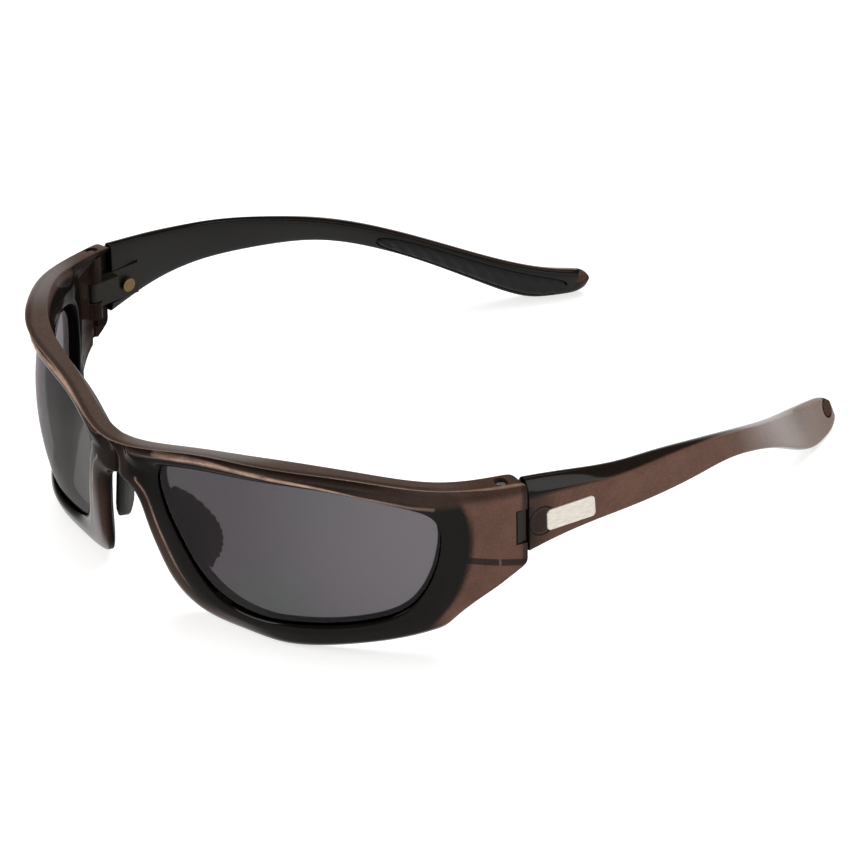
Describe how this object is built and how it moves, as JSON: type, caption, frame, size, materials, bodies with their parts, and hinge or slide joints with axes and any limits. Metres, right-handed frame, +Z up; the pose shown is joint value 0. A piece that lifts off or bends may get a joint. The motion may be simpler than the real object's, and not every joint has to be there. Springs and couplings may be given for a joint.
{
  "type": "safety glasses",
  "caption": "Wraparound safety glasses with a one-piece translucent frame, smoke lenses, soft nose pads and folding temples on screwed hinges.",
  "frame": {"origin": "middle of the bounding box, at table height, with the temples open", "axes": "X across the glasses, with the left and right halves mirrored about X = 0 and +X towards the wearer's left, -Y out of the front, +Z up; the temples run back along +Y"},
  "size_m": [0.1438, 0.1596, 0.0428],
  "materials": {
    "bronze_plastic": "translucent bronze with fine copper flake, glossy",
    "smoke_lens": "transparent smoke grey, polished",
    "pad_rubber": "soft, matte",
    "black_insert": "fine satin",
    "grip_rubber": "matte, ribbed",
    "dark_steel": "blackened",
    "brass": "machined",
    "silver_plate": "satin silver"
  },
  "bodies": {
    "front": {"front_frame": "bronze_plastic", "lens_left": "smoke_lens", "lens_right": "smoke_lens", "nose_pad_left": "pad_rubber", "nose_pad_right": "pad_rubber", "hinge_screw_left": "dark_steel", "hinge_screw_right": "dark_steel", "hinge_nut_left": "brass", "hinge_nut_right": "brass"},
    "temple_left": {"temple_arm_left": "bronze_plastic", "hinge_block_left": "black_insert", "insert_screw_left": "brass", "badge_left": "silver_plate", "temple_grip_left": "grip_rubber"},
    "temple_right": {"temple_arm_right": "bronze_plastic", "hinge_block_right": "black_insert", "insert_screw_right": "brass", "badge_right": "silver_plate", "temple_grip_right": "grip_rubber"}
  },
  "joints": [
    {"name": "temple_left_fold", "type": "hinge", "parent": "front", "child": "temple_left", "pos_m": [0.066, -0.0326, 0.0283], "axis": [0, 0, 1], "range_deg": [0, 82]},
    {"name": "temple_right_fold", "type": "hinge", "parent": "front", "child": "temple_right", "pos_m": [-0.066, -0.0326, 0.0283], "axis": [0, 0, -1], "range_deg": [0, 75]}
  ]
}
